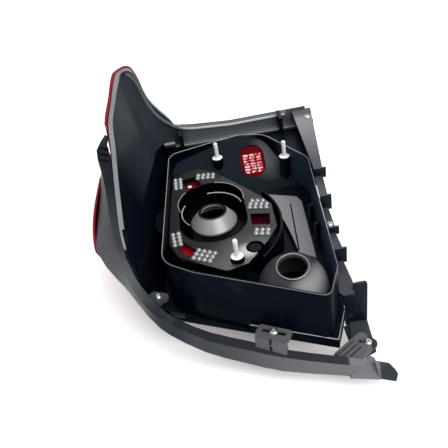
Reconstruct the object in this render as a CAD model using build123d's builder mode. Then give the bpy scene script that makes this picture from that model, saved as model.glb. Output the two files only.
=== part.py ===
from build123d import *
import os
from math import radians, tan

os.makedirs("parts", exist_ok=True)

# Tail light cluster seen from its bulb side, lens down, in millimetres.
# The origin is the shoulder of the near locating stud and +Z is the way the studs point.

# levels, measured from the stud shoulders
RIM_Z = 8.0
BEZEL_Z = -6.0
DECK_Z = -37.6
FOOT_Z = -58.0
LENS_Z = -94.0

# wall thicknesses and clearances
WALL = 2.4
LENS_WALL = 2.6
SHEET = 2.0
RIM_LIP = 5.0
RIM_LIP_DEPTH = 2.6
FIT = 0.3

# locating studs
STUD_R = 2.5
STUD_LENGTH = 20.0
STUD_FLANGE_R = 6.5
STUD_FLANGE = 2.0
SPIGOT_R = 2.0
SPIGOT = 6.0
TOWER_R = 5.0
STUDS = {
    "stud_near": (0.0, 0.0),
    "stud_far_left": (-1.0, 199.0),
    "stud_far_right": (81.0, 175.0),
}

# trim screws: where their heads seat
SCREW_R = 2.0
SCREW_HEAD_R = 4.2
SCREW_HEAD = 2.6
SCREW_LENGTH = 9.0
PILOT_R = SCREW_R + FIT
BOSS_R = 5.5
TAB = 2.5
SCREW_SIDE = (-86.0, -9.5, -28.0)
SCREW_MIDDLE = (21.5, -68.5, -44.0)
SCREW_CORNER = (108.5, -81.0, -67.5)
SCREW_EDGE = (100.8, 28.0, -4.0)
SCREW_FAR = (121.0, 222.0, 22.0)
SCREWS = (SCREW_SIDE, SCREW_MIDDLE, SCREW_CORNER, SCREW_EDGE, SCREW_FAR)

# bulb dish and the well that it stands in
DISH_X = -18.0
DISH_Y = 101.0
DISH_R = 27.0
DISH_BORE_R = 13.4
DISH_SEAT_Z = -28.0
DISH_TOP_Z = -12.0
WELL_Y = 93.0
WELL_WIDTH = 76.0
WELL_LENGTH = 116.0
WELL_RIGHT = DISH_X + WELL_WIDTH / 2
BEZEL_BAND = 5.0
FILTER_Z = -14.0
FILTER_BAND = 48.0

# domed reflector
DOME_X = 50.0
DOME_Y = -28.0
DOME_Z = -30.0
DOME_R = 35.0
DOME_BORE_R = 14.0
DOME_TILT = 10.0
COLLAR_WALL = 2.2
COLLAR = 2.0

# sloped far panel and its window
PANEL_TILT = 33.0
PANEL_FAR_Y = 230.0
PANEL_FAR_Z = 7.0
WINDOW_X = 43.0
WINDOW_S = 38.0
WINDOW_WIDTH = 31.0
WINDOW_LENGTH = 46.0

# drum, far ledge, partition, notch in the bezel and the grey plate
DRUM_R = 46.0
DRUM_Z = -20.0
LEDGE_Y = 231.0
LEDGE_Z = 9.0
LEDGE_LEFT = -66.0
LEDGE_RIGHT = 112.0
LEDGE_NOSE = 14.0
LEDGE_ROUND = 4.5
PARTITION_Z = -10.0
NOTCH_X = 20.0
NOTCH_Y = 16.0
SHIELD_Z = -30.0

# the near edge runs at this angle, and the foot reaches this far over the lens
NEAR_ANGLE = -28.3
LENS_FOOT = 3.0
SKIRT_Z = SCREW_MIDDLE[2] - TAB
SHELF_Z = 2.0

# outer wall lean, outwards for each millimetre of height
SIDE_LEAN = 0.30
FLARE_Z = 60.0
FAR_LEAN = 0.08
RIGHT_LEAN = 0.30


def wall_edges(z, side, far, near, bulge):
    """Closed outline of the outer wall at height z, grown by the given amounts."""
    lean = SIDE_LEAN * z
    flare = max(z - FLARE_Z, 0.0)
    far_y = 248.0 + FAR_LEAN * z + far
    near_left = (-95.7 - 2.0 * lean - side, -42.5 - 1.3 * lean - near)
    bend = (-99.0 - 1.2 * lean - side - 0.2 * bulge, -22.0 - 0.8 * lean - 0.5 * near)
    side_near = (-105.0 - 1.1 * lean - side - 0.4 * bulge, 10.0)
    side_mid = (-97.6 - lean - side - bulge, 85.0)
    crease = (-81.5 - 0.73 * lean - 0.115 * flare - side, 200.0)
    shoulder = (-80.0 - 0.73 * lean - 0.01 * flare - side, far_y - 30.0)
    horn = (-68.3 - 0.67 * lean - 0.8 * side, far_y - 5.8)
    far_left = (-42.0 - 0.6 * lean, far_y)
    far_right = (124.0 + RIGHT_LEAN * z + near, far_y)
    right = (91.0 + near, -52.0 - 0.8 * near)
    near_right = (76.0 + near, -87.0 - near)
    return [
        Edge.make_three_point_arc(near_left, bend, side_near),
        Edge.make_three_point_arc(side_near, side_mid, crease),
        Edge.make_line(crease, shoulder),
        Edge.make_three_point_arc(shoulder, horn, far_left),
        Edge.make_line(far_left, far_right),
        Edge.make_line(far_right, right),
        Edge.make_line(right, near_right),
        Edge.make_line(near_right, near_left),
    ]


# rim profiles: the far rim with the horn, and the side rim that drops to the near corner
SIDE_RIM = (
    (-40, -50), (-30, -46), (-21, -40), (-16, -33), (-10, -9), (-3, 6), (8, 13), (28, 27.5), (52, 40),
    (103, 66), (126, 78.5), (147, 91.5), (166, 98), (198, 105.5), (221, 113.5), (252, 117.7),
)
with BuildPart() as far_rim_cut:
    with BuildSketch(Plane.XZ.offset(-180)) as far_rim_profile:
        with BuildLine():
            Line((-170, 160), (-170, 116.8))
            Line((-170, 116.8), (-98, 116.8))
            Spline(
                (-98, 116.8), (-85, 106.4), (-73, 68), (-52, 36), (-25, 26.5), tangents=((1, 0), (1, -0.12))
            )
            Line((-25, 26.5), (24, 23))
            Line((24, 23), (160, 25))
            Line((160, 25), (160, 160))
            Line((160, 160), (-170, 160))
        make_face()
    extrude(amount=-140)

with BuildPart() as side_rim_cut:
    with BuildSketch(Plane.YZ.offset(-60)) as side_rim_profile:
        with BuildLine():
            Line((-220, 160), (-220, -52))
            Line((-220, -52), (-40, -50))
            Spline(*SIDE_RIM)
            Line((252, 117.7), (252, 160))
            Line((252, 160), (-220, 160))
        make_face()
    extrude(amount=-240)

with BuildPart() as lens_far_cut:
    with BuildSketch(Plane.XZ.offset(-180)) as lens_far_profile:
        with BuildLine():
            Line((-170, 160), (-170, 118.2))
            Line((-170, 118.2), (-98, 118.2))
            Spline(
                (-98, 118.2), (-84.5, 107.4), (-74, 66), (-58, 30), (-25, 18), tangents=((1, 0), (1, -0.1))
            )
            Line((-25, 18), (160, 18))
            Line((160, 18), (160, 160))
            Line((160, 160), (-170, 160))
        make_face()
    extrude(amount=-140)

with BuildPart() as lens_rim_cut:
    with BuildSketch(Plane.YZ.offset(-60)) as lens_rim_profile:
        with BuildLine():
            Line((-220, 160), (-220, FOOT_Z))
            Line((-220, FOOT_Z), (8, FOOT_Z))
            Spline((8, FOOT_Z), (24, -32), (36, -10), (47, 1), (70, 16.5), (97, 37), (110, 50))
            Line((110, 50), (146, 53))
            Line((146, 53), (149, 94))
            Spline((149, 94), (166, 99.8), (198, 107.3), (221, 115), (252, 119.2))
            Line((252, 119.2), (252, 160))
            Line((252, 160), (-220, 160))
        make_face()
    extrude(amount=-240)

# the side and far stretches that stand above the foot
with BuildPart() as wall_keep:
    with BuildSketch(Plane.XY.offset(FOOT_Z)) as wall_keep_sketch:
        with BuildLine():
            Polyline((-260, -60), (-62, -60), (-62, 228), (124, 228), (124, 300), (-260, 300), close=True)
        make_face()
    extrude(amount=200)

# outer lens
LENS_LEVELS = (
    (LENS_Z, -20.0, -14.0, -50.0, -6.0),
    (-84.0, -6.0, -3.0, -42.0, 6.0),
    (FOOT_Z, 6.0, 3.0, -4.0, 20.0),
    (0.0, 6.0, 3.0, 0.0, 49.0),
    (60.0, 3.0, 3.0, 0.0, 16.0),
    (92.0, 3.0, 3.0, 0.0, 1.0),
    (131.0, 3.0, 3.0, 0.0, 0.0),
)
with BuildPart() as lens:
    for z, side, far, near, bulge in LENS_LEVELS:
        with BuildSketch(Plane.XY.offset(z)):
            make_face(wall_edges(z, side, far, near, bulge))
    loft(ruled=True)
    for z, side, far, near, bulge in LENS_LEVELS:
        level = z + LENS_WALL if z == LENS_Z else z
        with BuildSketch(Plane.XY.offset(level)):
            make_face(wall_edges(z, side - LENS_WALL, far - LENS_WALL, near - LENS_WALL, bulge))
    loft(ruled=True, mode=Mode.SUBTRACT)
    with BuildSketch(Plane.XY.offset(FOOT_Z)):
        with BuildLine():
            Polyline((-62, -160), (-62, 228), (98, 228), (98, 300), (220, 300), (220, -160), close=True)
        make_face()
    extrude(amount=240, mode=Mode.SUBTRACT)
    add(lens_rim_cut.part, mode=Mode.SUBTRACT)
    add(lens_far_cut.part, mode=Mode.SUBTRACT)

# bulb chamber outline: corner points with their radii
WALL_FAR = (105.5, 148.5)
WALL_NEAR = (90.0, -50.0)
CHAMBER = (
    (-76, 0, 28),
    (-62, 212, 18),
    (30, 234, 30),
    (63, 223.5, 30),
    (*WALL_FAR, 20),
    (*WALL_NEAR, 20),
    (74, -88, 8),
    (-45, -24, 40),
)
with BuildSketch() as chamber_outline:
    with BuildLine():
        Polyline(*[(x, y) for x, y, _ in CHAMBER], close=True)
    make_face()
    for x, y, radius in CHAMBER:
        fillet(chamber_outline.vertices().sort_by_distance((x, y, 0))[0], radius=radius)

with BuildPart() as chamber_inner:
    with BuildSketch(Plane.XY.offset(FOOT_Z - 1)):
        add(chamber_outline.sketch)
        offset(amount=-WALL, mode=Mode.REPLACE)
    extrude(amount=RIM_Z - FOOT_Z + 2)

# sloped panel across the far end of the chamber, with the window in it
panel_plane = Plane(origin=(0, PANEL_FAR_Y, PANEL_FAR_Z)).rotated((PANEL_TILT, 0, 0))
with BuildPart() as panel:
    with BuildSketch(panel_plane):
        with Locations((20, -45)):
            Rectangle(220, 100)
        with Locations((WINDOW_X, -WINDOW_S)):
            SlotOverall(WINDOW_LENGTH, WINDOW_WIDTH, rotation=90, mode=Mode.SUBTRACT)
    extrude(amount=-WALL)
    add(chamber_inner.part, mode=Mode.INTERSECT)
    with BuildSketch(Plane.XY.offset(DECK_Z - WALL)):
        Rectangle(600, 600)
    extrude(amount=-60, mode=Mode.SUBTRACT)

# bowl that the outer wall is cut from, and the drum beside the chamber
with BuildPart() as bowl:
    for z in (FOOT_Z, 0.0, 60.0, 131.0):
        with BuildSketch(Plane.XY.offset(z)):
            make_face(wall_edges(z, 0, 0, 0, 0))
    loft(ruled=True)

with BuildPart() as bowl_clear:
    for z in (FOOT_Z, 0.0, 60.0, 131.0):
        with BuildSketch(Plane.XY.offset(z)):
            make_face(wall_edges(z, FIT, FIT, FIT, 0))
    loft(ruled=True)

with BuildPart() as bowl_inner:
    for z in (FOOT_Z, 0.0, 60.0, 131.0):
        with BuildSketch(Plane.XY.offset(z)):
            make_face(wall_edges(z, -WALL, -WALL, -WALL, 0))
    loft(ruled=True)

# lip inside the rim of the side and far walls
with BuildPart() as rim_lip:
    add(bowl.part)
    for z in (FOOT_Z, 0.0, 60.0, 131.0):
        with BuildSketch(Plane.XY.offset(z)):
            make_face(wall_edges(z, -RIM_LIP, -RIM_LIP, -RIM_LIP, 0))
    loft(ruled=True, mode=Mode.SUBTRACT)
    add(wall_keep.part, mode=Mode.INTERSECT)
    with BuildSketch(Plane.XY.offset(FOOT_Z)):
        with BuildLine():
            Polyline((-200, 34), (98, 34), (98, 300), (-200, 300), close=True)
        make_face()
    extrude(amount=200, mode=Mode.INTERSECT)
    with BuildPart(mode=Mode.INTERSECT):
        add(far_rim_cut.part.moved(Location((0, 0, -RIM_LIP_DEPTH))))
        add(side_rim_cut.part.moved(Location((0, 0, -RIM_LIP_DEPTH))))
    add(far_rim_cut.part, mode=Mode.SUBTRACT)
    add(side_rim_cut.part, mode=Mode.SUBTRACT)

with BuildPart() as chamber_outer:
    with BuildSketch(Plane.XY.offset(FOOT_Z - 1)):
        add(chamber_outline.sketch)
    extrude(amount=RIM_Z - FOOT_Z + 2)

with BuildPart() as drum:
    with BuildSketch(Plane.XY.offset(FOOT_Z)):
        with Locations((-40, 108)):
            Circle(DRUM_R)
    extrude(amount=DRUM_Z - FOOT_Z)
    add(chamber_outer.part, mode=Mode.SUBTRACT)
    add(bowl_inner.part, mode=Mode.INTERSECT)

with BuildPart() as drum_hollow:
    with BuildSketch(Plane.XY.offset(FOOT_Z - 1)):
        with Locations((-40, 108)):
            Circle(DRUM_R - WALL)
    extrude(amount=DRUM_Z - FOOT_Z - WALL + 1)
    add(chamber_outer.part, mode=Mode.SUBTRACT)
    add(bowl_inner.part, mode=Mode.INTERSECT)

# rounded ledge along the far wall, its raised end under the horn and the two ribs on it
with BuildPart() as ledge:
    from_corner = (Align.MIN, Align.MIN, Align.MIN)
    for inset in (0.0, WALL):
        side = Mode.ADD if inset == 0 else Mode.SUBTRACT
        with BuildPart(mode=side) as step:
            with Locations((LEDGE_LEFT + inset, LEDGE_Y + inset, FOOT_Z - inset)):
                Box(LEDGE_RIGHT - LEDGE_LEFT - inset, 40, LEDGE_Z - FOOT_Z, align=from_corner)
                Box(LEDGE_NOSE - 2 * inset, 40, LEDGE_Z - FOOT_Z + 5, align=from_corner)
            front = step.edges().filter_by(Axis.X).group_by(Axis.Y)[0].sort_by(Axis.Z)
            fillet([edge for edge in front if edge.center().Z > 0], radius=LEDGE_ROUND - inset)
    with Locations((-43, LEDGE_Y + 10, 12), (88, LEDGE_Y + 10, 12)):
        Box(4.5, 30, 25)
    add(bowl.part, mode=Mode.INTERSECT)

# housing
deck_end = PANEL_FAR_Y - (PANEL_FAR_Z - DECK_Z) / tan(radians(PANEL_TILT))
with BuildPart() as housing:
    add(bowl.part)
    add(bowl_inner.part, mode=Mode.SUBTRACT)
    add(wall_keep.part, mode=Mode.INTERSECT)
    add(far_rim_cut.part, mode=Mode.SUBTRACT)
    add(side_rim_cut.part, mode=Mode.SUBTRACT)
    add(rim_lip.part)
    # foot plate, open under the chamber
    with BuildSketch(Plane.XY.offset(FOOT_Z)):
        make_face(wall_edges(FOOT_Z, 0, 0, LENS_FOOT, 0))
        add(chamber_outline.sketch, mode=Mode.SUBTRACT)
    extrude(amount=WALL)
    # taller foot round the near right corner
    with BuildSketch(Plane.XY.offset(FOOT_Z)):
        make_face(wall_edges(FOOT_Z, 0, 0, LENS_FOOT, 0))
        with Locations((60, 20)):
            Rectangle(120, 240, mode=Mode.INTERSECT)
        add(chamber_outline.sketch, mode=Mode.SUBTRACT)
    extrude(amount=SKIRT_Z - FOOT_Z)
    # shelf beside the far right of the chamber
    with BuildSketch(Plane.XY.offset(SHELF_Z)):
        with BuildLine():
            Polyline((97, 98), (109, 98), (126, 245), (60, 245), (60, 210), (97, 160), close=True)
        make_face()
        add(chamber_outline.sketch, mode=Mode.SUBTRACT)
    extrude(amount=-WALL)
    # chamber wall
    with BuildSketch(Plane.XY.offset(FOOT_Z)):
        add(chamber_outline.sketch)
        offset(amount=-WALL, mode=Mode.SUBTRACT)
    extrude(amount=RIM_Z - FOOT_Z)
    # deck with the openings under the well and the dome
    with BuildSketch(Plane.XY.offset(DECK_Z - WALL)):
        add(chamber_outline.sketch)
        with Locations((0, deck_end + 150)):
            Rectangle(400, 300, mode=Mode.SUBTRACT)
        with Locations((DISH_X, WELL_Y)):
            SlotOverall(WELL_LENGTH - 4, WELL_WIDTH - 4, rotation=90, mode=Mode.SUBTRACT)
        with Locations((DOME_X, DOME_Y)):
            Circle(DOME_R - 5, mode=Mode.SUBTRACT)
    extrude(amount=WALL)
    add(panel.part)
    add(drum.part)
    add(drum_hollow.part, mode=Mode.SUBTRACT)
    add(ledge.part)
    # towers under the studs
    for x, y in STUDS.values():
        floor = max(DECK_Z, PANEL_FAR_Z - (PANEL_FAR_Y - y) * tan(radians(PANEL_TILT)))
        with BuildSketch(Plane.XY.offset(floor - WALL)):
            with Locations((x, y)):
                Circle(TOWER_R)
                Rectangle(2 * STUD_FLANGE_R, WALL)
                Rectangle(WALL, 2 * STUD_FLANGE_R)
        extrude(amount=-STUD_FLANGE - floor + WALL)
        with BuildSketch(Plane.XY.offset(-STUD_FLANGE)):
            with Locations((x, y)):
                Circle(STUD_FLANGE_R + FIT)
        extrude(amount=RIM_Z + STUD_FLANGE, mode=Mode.SUBTRACT)
        with Locations((x, y, -STUD_FLANGE)):
            Hole(SPIGOT_R + FIT, depth=SPIGOT + 1)
    # partition between the bezel and the grey plate, and the plain bosses
    with BuildSketch(Plane.XY.offset(DECK_Z)):
        with BuildLine():
            ThreePointArc((44, 122), (57, 66), (27, 2))
            offset(amount=SHEET, side=Side.RIGHT)
        make_face()
    extrude(amount=PARTITION_Z - DECK_Z)
    with BuildSketch(Plane.XY.offset(DECK_Z)):
        with Locations((NOTCH_X, NOTCH_Y)):
            Circle(6.5)
    extrude(amount=BEZEL_Z - DECK_Z - 1)
    with BuildSketch(Plane.XY.offset(DECK_Z)):
        with Locations((93, 84), (92, 50)):
            Circle(3)
    extrude(amount=22)
    # pads under the grey plate
    with BuildSketch(Plane.XY.offset(DECK_Z)):
        with Locations((69, 110), (74, 30)):
            Rectangle(14, 6)
    extrude(amount=SHIELD_Z - SHEET - DECK_Z)
    # bosses for the trim screws
    x, y, z = SCREW_SIDE
    with BuildSketch(Plane.XY.offset(FOOT_Z)):
        with Locations((x, y)):
            Circle(BOSS_R)
    extrude(amount=z - TAB - FOOT_Z)
    with BuildSketch(Plane.XY.offset(z - TAB)):
        with Locations((x, y)):
            SlotOverall(23, 14, rotation=-25)
    extrude(amount=20, mode=Mode.SUBTRACT)
    x, y, z = SCREW_MIDDLE
    with BuildSketch(Plane.XY.offset(FOOT_Z)):
        with Locations((x, y)):
            Circle(BOSS_R)
        with Locations((x + 2.8, y + 5.3)):
            Rectangle(9, 12, rotation=NEAR_ANGLE)
    extrude(amount=z - TAB - FOOT_Z)
    x, y, z = SCREW_EDGE
    with BuildSketch(Plane.XY.offset(-34)):
        with Locations((x, y)):
            Circle(3.2)
        with Locations((x - 3, y)):
            Rectangle(6, 6.4)
    extrude(amount=z - TAB + 34)
    x, y, z = SCREW_FAR
    with BuildSketch(Plane.XY.offset(z - TAB)):
        with Locations((x, y + 11)):
            Rectangle(14, 34)
    extrude(amount=-16)
    for x, y, z in (SCREW_SIDE, SCREW_MIDDLE, SCREW_EDGE, SCREW_FAR):
        with Locations((x, y, z - TAB)):
            Hole(PILOT_R, depth=SCREW_LENGTH)

# lower trim: stations along the strip, each with its inner edge, corner and outer edge
TRIM_WALL = 2.6
TRIM_STEPS = 2
LUG_ANGLE = 35.0
GUSSET = (
    Vector(104, -101, -64.5), Vector(84.5, -110.5, -76), Vector(109, -115.5, -78), Vector(107, -103.5, -65)
)
GUSSET_FACE = (GUSSET[2] - GUSSET[1]).cross(GUSSET[0] - GUSSET[1])
TRIM = (
    ((-115, 141, 84), (-119.5, 140, 87), (-121.5, 142, 82)),
    ((-115.8, 126, 77), (-130.5, 123, 78), (-132.5, 128, 69)),
    ((-115.8, 105, 67.5), (-127.5, 103, 68), (-129.7, 109, 59)),
    ((-115.4, 87, 58.5), (-125, 87, 57), (-135, 97.5, 38.5)),
    ((-114.6, 59, 43.5), (-123, 59, 41.5), (-141.5, 70.5, 18.5)),
    ((-113, 31, 29), (-120.5, 32, 26), (-145.5, 47, 3.5)),
    ((-109.5, 9, 14), (-117.5, 15, 7), (-137, 30.5, -10.5)),
    ((-103, -9.5, 3), (-112.5, 0, -9.5), (-122.5, 18, -30)),
    ((-98.5, -15.5, -5.5), (-107, -10.5, -19.5), (-111, -3, -33)),
    ((-89, -23, -21.5), (-96.5, -24, -29), (-101, -17.5, -41)),
    ((-82, -26.5, -31), (-88, -30, -37), (-92.5, -28, -46.5)),
    ((-72.5, -30, -40.5), (-76, -37, -43.5), (-81, -38.5, -54)),
    ((-41, -50, -48), (-43, -56, -54), (-46, -60, -66)),
    ((-4, -65, -54), (-6, -72, -59), (-7, -77, -73)),
    ((27, -81, -56), (26, -87, -61), (25, -91, -76)),
    ((73, -98, -58), (74, -104, -63), (75, -106.5, -76.5)),
    ((98, -106, -60), (100, -111, -65), (102, -113.5, -78)),
    ((122, -112, -66), (127, -116, -71), (133, -121, -84.5)),
)


def trim_edge(edge, place):
    """Point on one edge of the strip at a station number, on a smooth curve through the stations."""
    first = min(int(place), len(TRIM) - 2)
    t = place - first
    numbers = [min(max(first + step, 0), len(TRIM) - 1) for step in (-1, 0, 1, 2)]
    a, b, c, d = [Vector(TRIM[number][edge]) for number in numbers]
    slope = (c - a) * 0.5
    swing = a - b * 2.5 + c * 2 - d * 0.5
    close = b * 1.5 - a * 0.5 - c * 1.5 + d * 0.5
    return b + slope * t + swing * t**2 + close * t**3


def trim_section(place):
    """Plane square to the strip at a station number, and the bent outline in it."""
    corner = trim_edge(1, place)
    heading = trim_edge(1, min(place + 0.2, len(TRIM) - 1)) - trim_edge(1, max(place - 0.2, 0))
    flat = Plane(origin=corner, x_dir=trim_edge(0, place) - corner, z_dir=heading)
    band = flat.to_local_coords(trim_edge(0, place)).X
    tip = flat.to_local_coords(trim_edge(2, place))
    reach = (tip.X**2 + tip.Y**2) ** 0.5
    run = tip.X / reach
    drop = tip.Y / reach
    bend = (-TRIM_WALL * drop / (1 - run), -TRIM_WALL)
    toe = (tip.X - TRIM_WALL * drop, tip.Y + TRIM_WALL * run)
    return flat, ((0, 0), (band, 0), (band, -TRIM_WALL), bend, toe, (tip.X, tip.Y))


with BuildPart() as lower_trim:
    sections = []
    for step in range(TRIM_STEPS * (len(TRIM) - 1) + 1):
        plane, points = trim_section(step / TRIM_STEPS)
        with BuildSketch(plane, mode=Mode.PRIVATE) as section:
            with BuildLine():
                Polyline(*points, close=True)
            make_face()
        sections.append(section.sketch)
    for start, end in zip(sections, sections[1:]):
        loft(sections=[start, end], ruled=True)
    add(bowl_clear.part, mode=Mode.SUBTRACT)
    # slanted end
    with BuildSketch(Plane.XY.offset(-100)):
        with BuildLine():
            Polyline((113, -105), (131, -122), (170, -140), (170, -95), close=True)
        make_face()
    extrude(amount=60, mode=Mode.SUBTRACT)
    # ribs on the wide far end of the strip
    for y, z in ((125, 79), (118, 76), (111, 72.5)):
        with Locations(Location((-122.5, y, z), (28, 0, -25))):
            Box(11, 2.2, 4)
    # side bracket
    x, y, z = SCREW_SIDE
    with BuildSketch(Plane.XY.offset(z)):
        with Locations((x, y)):
            SlotOverall(22, 13, rotation=-25)
        with Locations((x - 5, y - 8)):
            Rectangle(15, 12, rotation=-45)
    extrude(amount=-TAB)
    with Locations(Location((x - 6, y - 9.5, z - 6), (0, 0, -45))):
        Box(15, 3, 12)
    # middle tab on its two ribs
    x, y, z = SCREW_MIDDLE
    with BuildSketch(Plane.XY.offset(z)):
        with Locations(Location((x, y), NEAR_ANGLE)):
            with Locations((0, -1.2)):
                RectangleRounded(34, 15, 3)
    extrude(amount=-TAB)
    for along in (-8.5, 8.5):
        with Locations(Location((x, y, z - 9), (0, 0, NEAR_ANGLE))):
            with Locations((along, -9.5, 0)):
                Box(14, 5, 18)
    # corner lug with its ribs
    x, y, z = SCREW_CORNER
    with BuildSketch(Plane.XY.offset(z)):
        with Locations(Location((x - 13.5, y - 6), LUG_ANGLE)):
            RectangleRounded(44, 23, 6)
    extrude(amount=-TAB)
    with Locations(Location((x - 18, y - 9.5, z), (0, 0, LUG_ANGLE))):
        with Locations((0, 9, 1.5), (0, 4, 1.5), (0, -1, 1.5), (0, -6, 1.5)):
            Box(24, 1.8, 5)
    # sloped gusset that closes the strip under the lug
    gusset = Plane(origin=GUSSET[1], x_dir=GUSSET[2] - GUSSET[1], z_dir=GUSSET_FACE)
    corners = [gusset.to_local_coords(point) for point in GUSSET]
    for depth, mode in ((16, Mode.SUBTRACT), (-TRIM_WALL, Mode.ADD)):
        with BuildSketch(gusset):
            with BuildLine():
                Polyline(*[(corner.X, corner.Y) for corner in corners], close=True)
            make_face()
            if depth < 0:
                offset(amount=1.5, mode=Mode.REPLACE)
        extrude(amount=depth, mode=mode)
    # screw holes
    for x, y, z in (SCREW_SIDE, SCREW_MIDDLE, SCREW_CORNER):
        with Locations((x, y, z)):
            Hole(PILOT_R, depth=TAB + 1)
    # hole beside the corner screw
    with Locations((SCREW_CORNER[0] - 6.5, SCREW_CORNER[1] + 3, SCREW_CORNER[2])):
        Hole(PILOT_R, depth=TAB + 1)
    # slot beside the middle screw
    x, y, z = SCREW_MIDDLE
    with BuildSketch(Plane.XY.offset(z)):
        with Locations(Location((x, y), NEAR_ANGLE)):
            SlotOverall(25, 2 * PILOT_R)
    extrude(amount=-TAB, mode=Mode.SUBTRACT)

# edge bracket: treads as height, far end, near end, outer edge at each end
TREADS = (
    (22.0, 247.0, 97.0, 131.0, 111.0),
    (12.0, 97.0, 58.0, 111.0, 107.0),
    (-4.0, 58.0, 22.0, 107.0, 105.5),
    (-11.0, 22.0, -5.0, 105.5, 106.0),
    (-27.0, -5.0, -50.0, 106.0, 107.0),
)
CORNER_TREAD_Z = SCREW_CORNER[2] - TAB
RISER_LIP = 4.0
RISER_TOP = -18.5


def wall_side(y):
    """Outer face of the chamber's right wall at y, with the clearance to the bracket."""
    slope = (WALL_FAR[0] - WALL_NEAR[0]) / (WALL_FAR[1] - WALL_NEAR[1])
    return min(WALL_FAR[0], WALL_NEAR[0] + (y - WALL_NEAR[1]) * slope) + FIT


with BuildPart() as edge_bracket:
    for z, far_end, near_end, far_x, near_x in TREADS:
        with BuildSketch(Plane.XY.offset(z)):
            with BuildLine():
                Polyline(
                    (wall_side(far_end), far_end), (far_x, far_end), (near_x, near_end),
                    (wall_side(near_end), near_end), close=True
                )
            make_face()
        extrude(amount=-TAB)
    for upper, lower in zip(TREADS, TREADS[1:]):
        y = upper[2]
        width = upper[4] + RISER_LIP - wall_side(y)
        height = upper[0] - lower[0] + TAB
        with Locations((wall_side(y) + width / 2, y + TAB / 2, upper[0] - height / 2)):
            Box(width, TAB, height)
    # tongue past the last riser, the tall riser and the tread that takes the corner lug
    z = TREADS[-1][0]
    y = TREADS[-1][2]
    with BuildSketch(Plane.XY.offset(z)):
        with Locations((wall_side(y) + 7.8, y + 2)):
            RectangleRounded(14, 13, 4)
    extrude(amount=-TAB)
    with BuildSketch(Plane.XZ.offset(-y)):
        with BuildLine():
            FilletPolyline(
                (96, z - TAB), (104, z - TAB), (104, RISER_TOP), (117.5, RISER_TOP), (117.5, -50), radius=3
            )
            Polyline(
                (117.5, -50), (117.5, CORNER_TREAD_Z - TAB), (95.3, CORNER_TREAD_Z - TAB),
                (95.3, SKIRT_Z + 0.5), (wall_side(y), SKIRT_Z + 0.5), (wall_side(y), z - TAB), (96, z - TAB)
            )
        make_face()
    extrude(amount=-TAB)
    with BuildSketch(Plane.XY.offset(CORNER_TREAD_Z)):
        with BuildLine():
            Polyline((100, y + TAB), (117.5, y + TAB), (114, -90), (99, -96), (92, -88), close=True)
        make_face()
    extrude(amount=-TAB)
    # sloped flange on the inner edge of that tread
    with BuildSketch(Plane.XZ.offset(-y)):
        with BuildLine():
            Polyline(
                (100.5, CORNER_TREAD_Z), (100.5, CORNER_TREAD_Z - TAB), (94.5, CORNER_TREAD_Z - 6 - TAB),
                (93, CORNER_TREAD_Z - 5), close=True
            )
        make_face()
    extrude(amount=26)
    with BuildSketch(Plane.XY.offset(CORNER_TREAD_Z)):
        with Locations((SCREW_CORNER[0], SCREW_CORNER[1])):
            Circle(BOSS_R)
    extrude(amount=-SCREW_LENGTH - 1)
    for x, y, z in (SCREW_EDGE, SCREW_FAR):
        with Locations((x, y, z)):
            Hole(PILOT_R, depth=TAB + 1)
    with Locations((SCREW_CORNER[0], SCREW_CORNER[1], CORNER_TREAD_Z)):
        Hole(PILOT_R, depth=SCREW_LENGTH)

# beaded bezel
BEZEL = (
    (-60, 177, 8), (-47, 187, 6), (-28, 189, 8), (-10, 175, 8), (12, 146, 10), (WELL_RIGHT + 20, 104, 8),
    (WELL_RIGHT + 29, 86, 6), (WELL_RIGHT + 28, 44, 8), (WELL_RIGHT + 15, 23, 6), (10, -8, 4),
    (-12, -14, 8), (-38, 4, 12), (-59, 20, 8), (-69, 45, 8), (-66, 100, 20),
)
with BuildSketch() as bezel_outline:
    with BuildLine():
        Polyline(*[(x, y) for x, y, _ in BEZEL], close=True)
    make_face()
    for x, y, radius in BEZEL:
        fillet(bezel_outline.vertices().sort_by_distance((x, y, 0))[0], radius=radius)
    # the plate stays wider than the well all round
    with Locations((DISH_X, WELL_Y)):
        SlotOverall(WELL_LENGTH + 2 * BEZEL_BAND, WELL_WIDTH + 2 * BEZEL_BAND, rotation=90)

BEAD_R = 2.4
BEAD = 1.5
BEAD_PITCH = 6.2
BEADS = (
    (-20, 167, 4, 2, -10),
    (-54.5, 160, 2, 4, 0),
    (34, 86, 4, 2, -15),
    (31, 38, 3, 2, -15),
    (-60.5, 50, 2, 4, 5),
    (-33, 15, 4, 3, -30),
)
with BuildPart() as bezel:
    with BuildSketch(Plane.XY.offset(BEZEL_Z)):
        add(bezel_outline.sketch)
        with Locations((DISH_X, WELL_Y)):
            SlotOverall(WELL_LENGTH, WELL_WIDTH, rotation=90, mode=Mode.SUBTRACT)
        with Locations((NOTCH_X, NOTCH_Y)):
            Circle(9.5, mode=Mode.SUBTRACT)
        with Locations((0, 0)):
            Circle(STUD_FLANGE_R + 1, mode=Mode.SUBTRACT)
        # windows
        with BuildLine():
            Polyline((-55, 46), (-40, 26), (-48, 20), (-57, 28), close=True)
        make_face(mode=Mode.SUBTRACT)
        with BuildLine():
            Polyline(
                (WELL_RIGHT + 3, 74), (WELL_RIGHT + 24, 69), (WELL_RIGHT + 21, 46), (WELL_RIGHT + 2, 52),
                close=True
            )
        make_face(mode=Mode.SUBTRACT)
        with Locations((-38, 158)):
            Rectangle(20, 24, rotation=10, mode=Mode.SUBTRACT)
    extrude(amount=-SHEET)
    for x, y, columns, rows, angle in BEADS:
        with BuildSketch(Plane.XY.offset(BEZEL_Z)):
            with Locations(Location((x, y), angle)):
                with GridLocations(BEAD_PITCH, BEAD_PITCH, columns, rows):
                    RegularPolygon(BEAD_R, 8)
        extrude(amount=BEAD, taper=30)

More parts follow.
